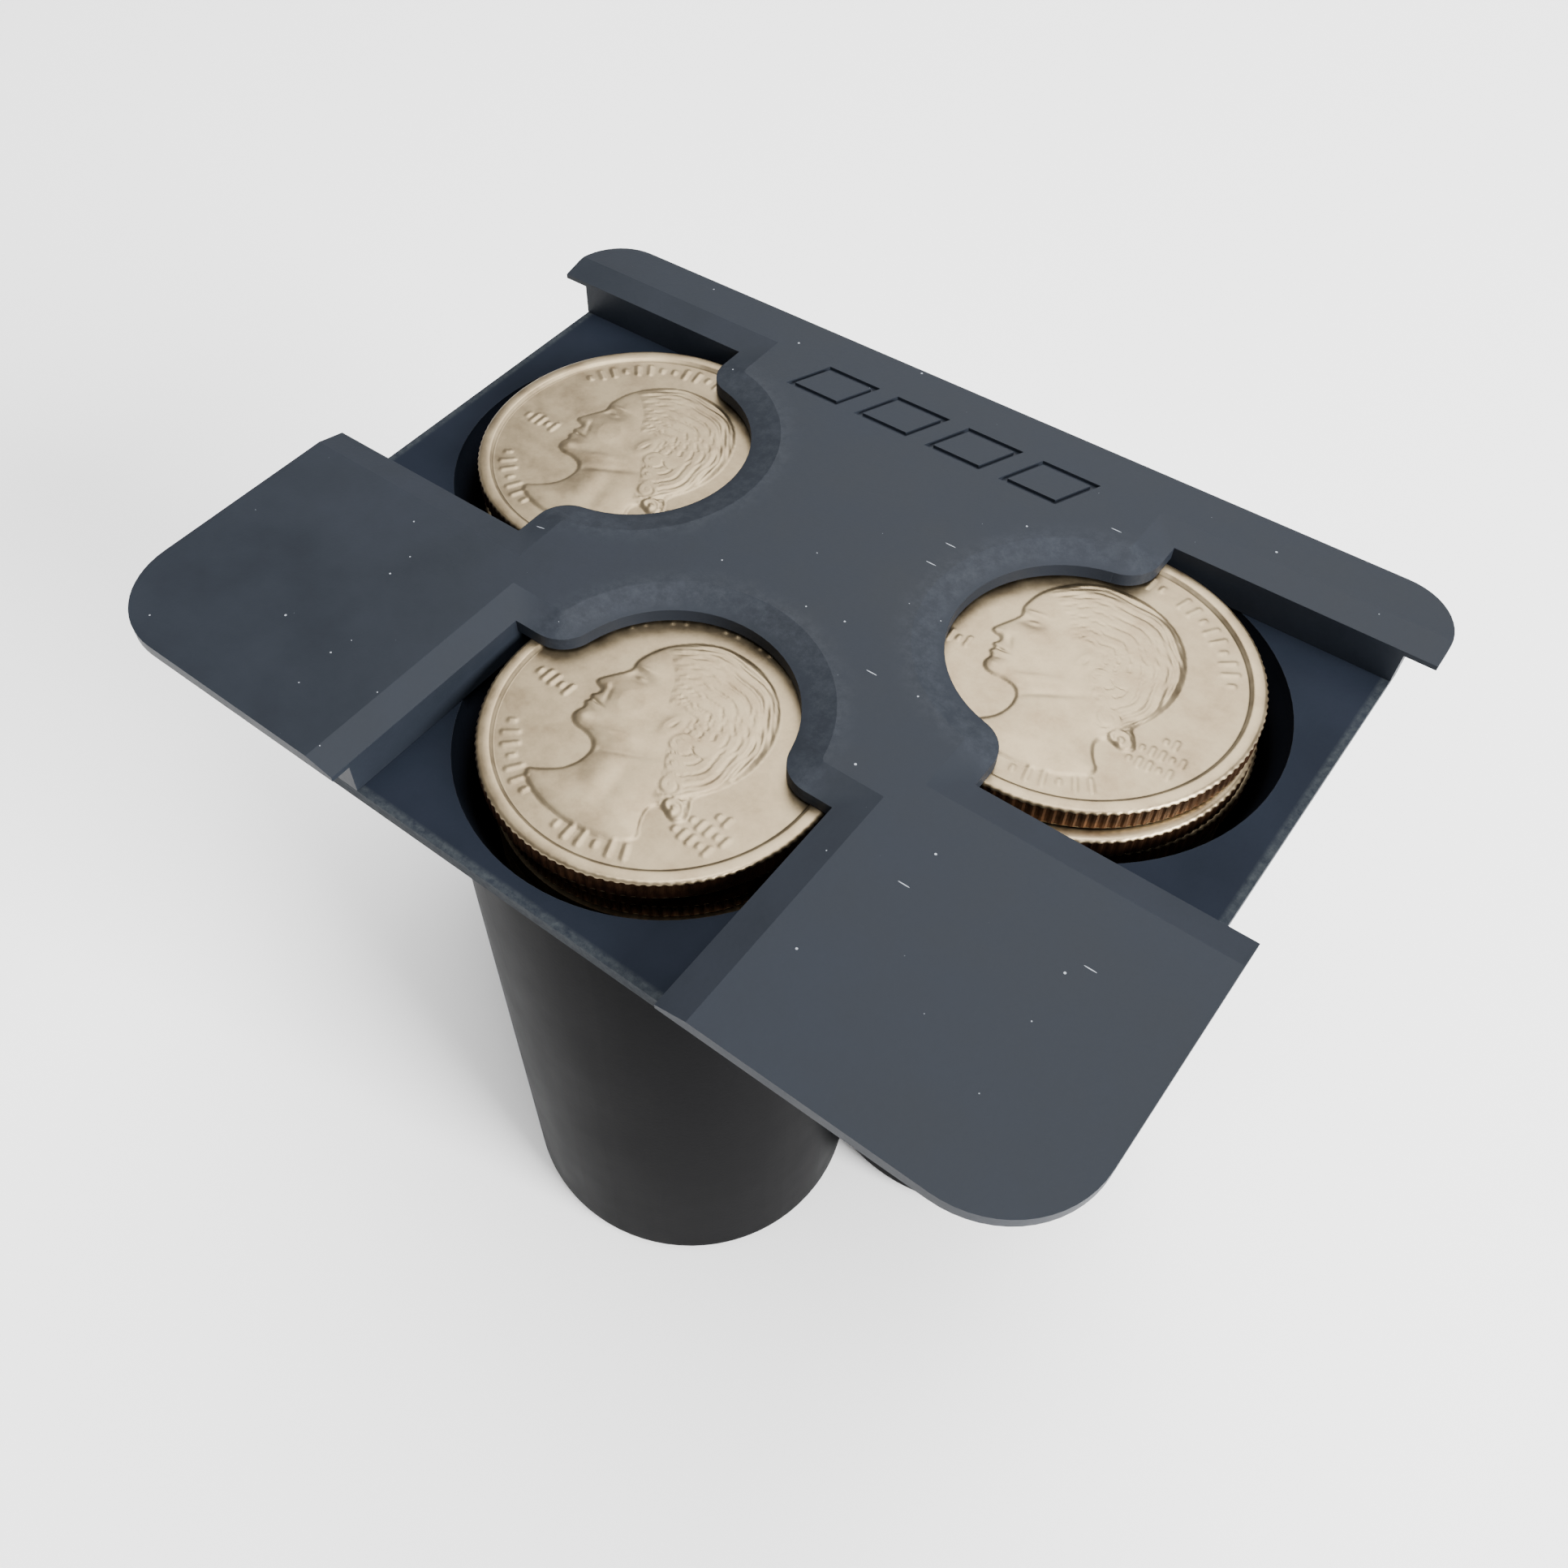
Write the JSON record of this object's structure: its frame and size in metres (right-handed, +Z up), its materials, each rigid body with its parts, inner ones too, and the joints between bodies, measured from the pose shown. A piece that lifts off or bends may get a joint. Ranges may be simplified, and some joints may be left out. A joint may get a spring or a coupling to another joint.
{
  "type": "coin display tray",
  "caption": "Flat dark plastic tray with open-ended coin wells over joined spring-fed tubes; the top coins slide out at the edges.",
  "frame": {"origin": "under the middle of the plate, in the plane of the tube bottoms", "axes": "+X along the straight back edge, +Y towards the back edge, +Z up; the wells open towards -X, -Y and +X"},
  "size_m": [0.0742, 0.0552, 0.059],
  "materials": {
    "cover_plastic": "fine moulded texture, slightly worn and dusty",
    "tube_plastic": "moulded, semi-matt",
    "spring_steel": "drawn wire",
    "coin_metal": "worn cupro-nickel, warm silver"
  },
  "bodies": {
    "tray": {"top_cover": "cover_plastic", "tube_base": "tube_plastic"},
    "stack_left": {"pusher_left": "tube_plastic", "spring_left": "spring_steel", "second_coin_left": "coin_metal", "third_coin_left": "coin_metal", "lower_coins_left": "coin_metal"},
    "coin_left": {"top_coin_left": "coin_metal"},
    "stack_front": {"pusher_front": "tube_plastic", "spring_front": "spring_steel", "second_coin_front": "coin_metal", "third_coin_front": "coin_metal", "lower_coins_front": "coin_metal"},
    "coin_front": {"top_coin_front": "coin_metal"},
    "stack_right": {"pusher_right": "tube_plastic", "spring_right": "spring_steel", "second_coin_right": "coin_metal", "third_coin_right": "coin_metal", "lower_coins_right": "coin_metal"},
    "coin_right": {"top_coin_right": "coin_metal"}
  },
  "joints": [
    {"name": "stack_rise_left", "type": "slide", "parent": "tray", "child": "stack_left", "axis": [0, 0, 1], "range_m": [-0.02, 0], "stiffness_N_per_m": 60, "springref_m": 0.03, "deforming": ["spring_left"]},
    {"name": "coin_slide_left", "type": "slide", "parent": "tray", "child": "coin_left", "axis": [-1, 0, 0], "range_m": [0, 0.016]},
    {"name": "stack_rise_front", "type": "slide", "parent": "tray", "child": "stack_front", "axis": [0, 0, 1], "range_m": [-0.02, 0], "stiffness_N_per_m": 60, "springref_m": 0.03, "deforming": ["spring_front"]},
    {"name": "coin_slide_front", "type": "slide", "parent": "tray", "child": "coin_front", "axis": [0, -1, 0], "range_m": [0, 0.016]},
    {"name": "stack_rise_right", "type": "slide", "parent": "tray", "child": "stack_right", "axis": [0, 0, 1], "range_m": [-0.02, 0], "stiffness_N_per_m": 60, "springref_m": 0.03, "deforming": ["spring_right"]},
    {"name": "coin_slide_right", "type": "slide", "parent": "tray", "child": "coin_right", "axis": [1, 0, 0], "range_m": [0, 0.016]}
  ]
}
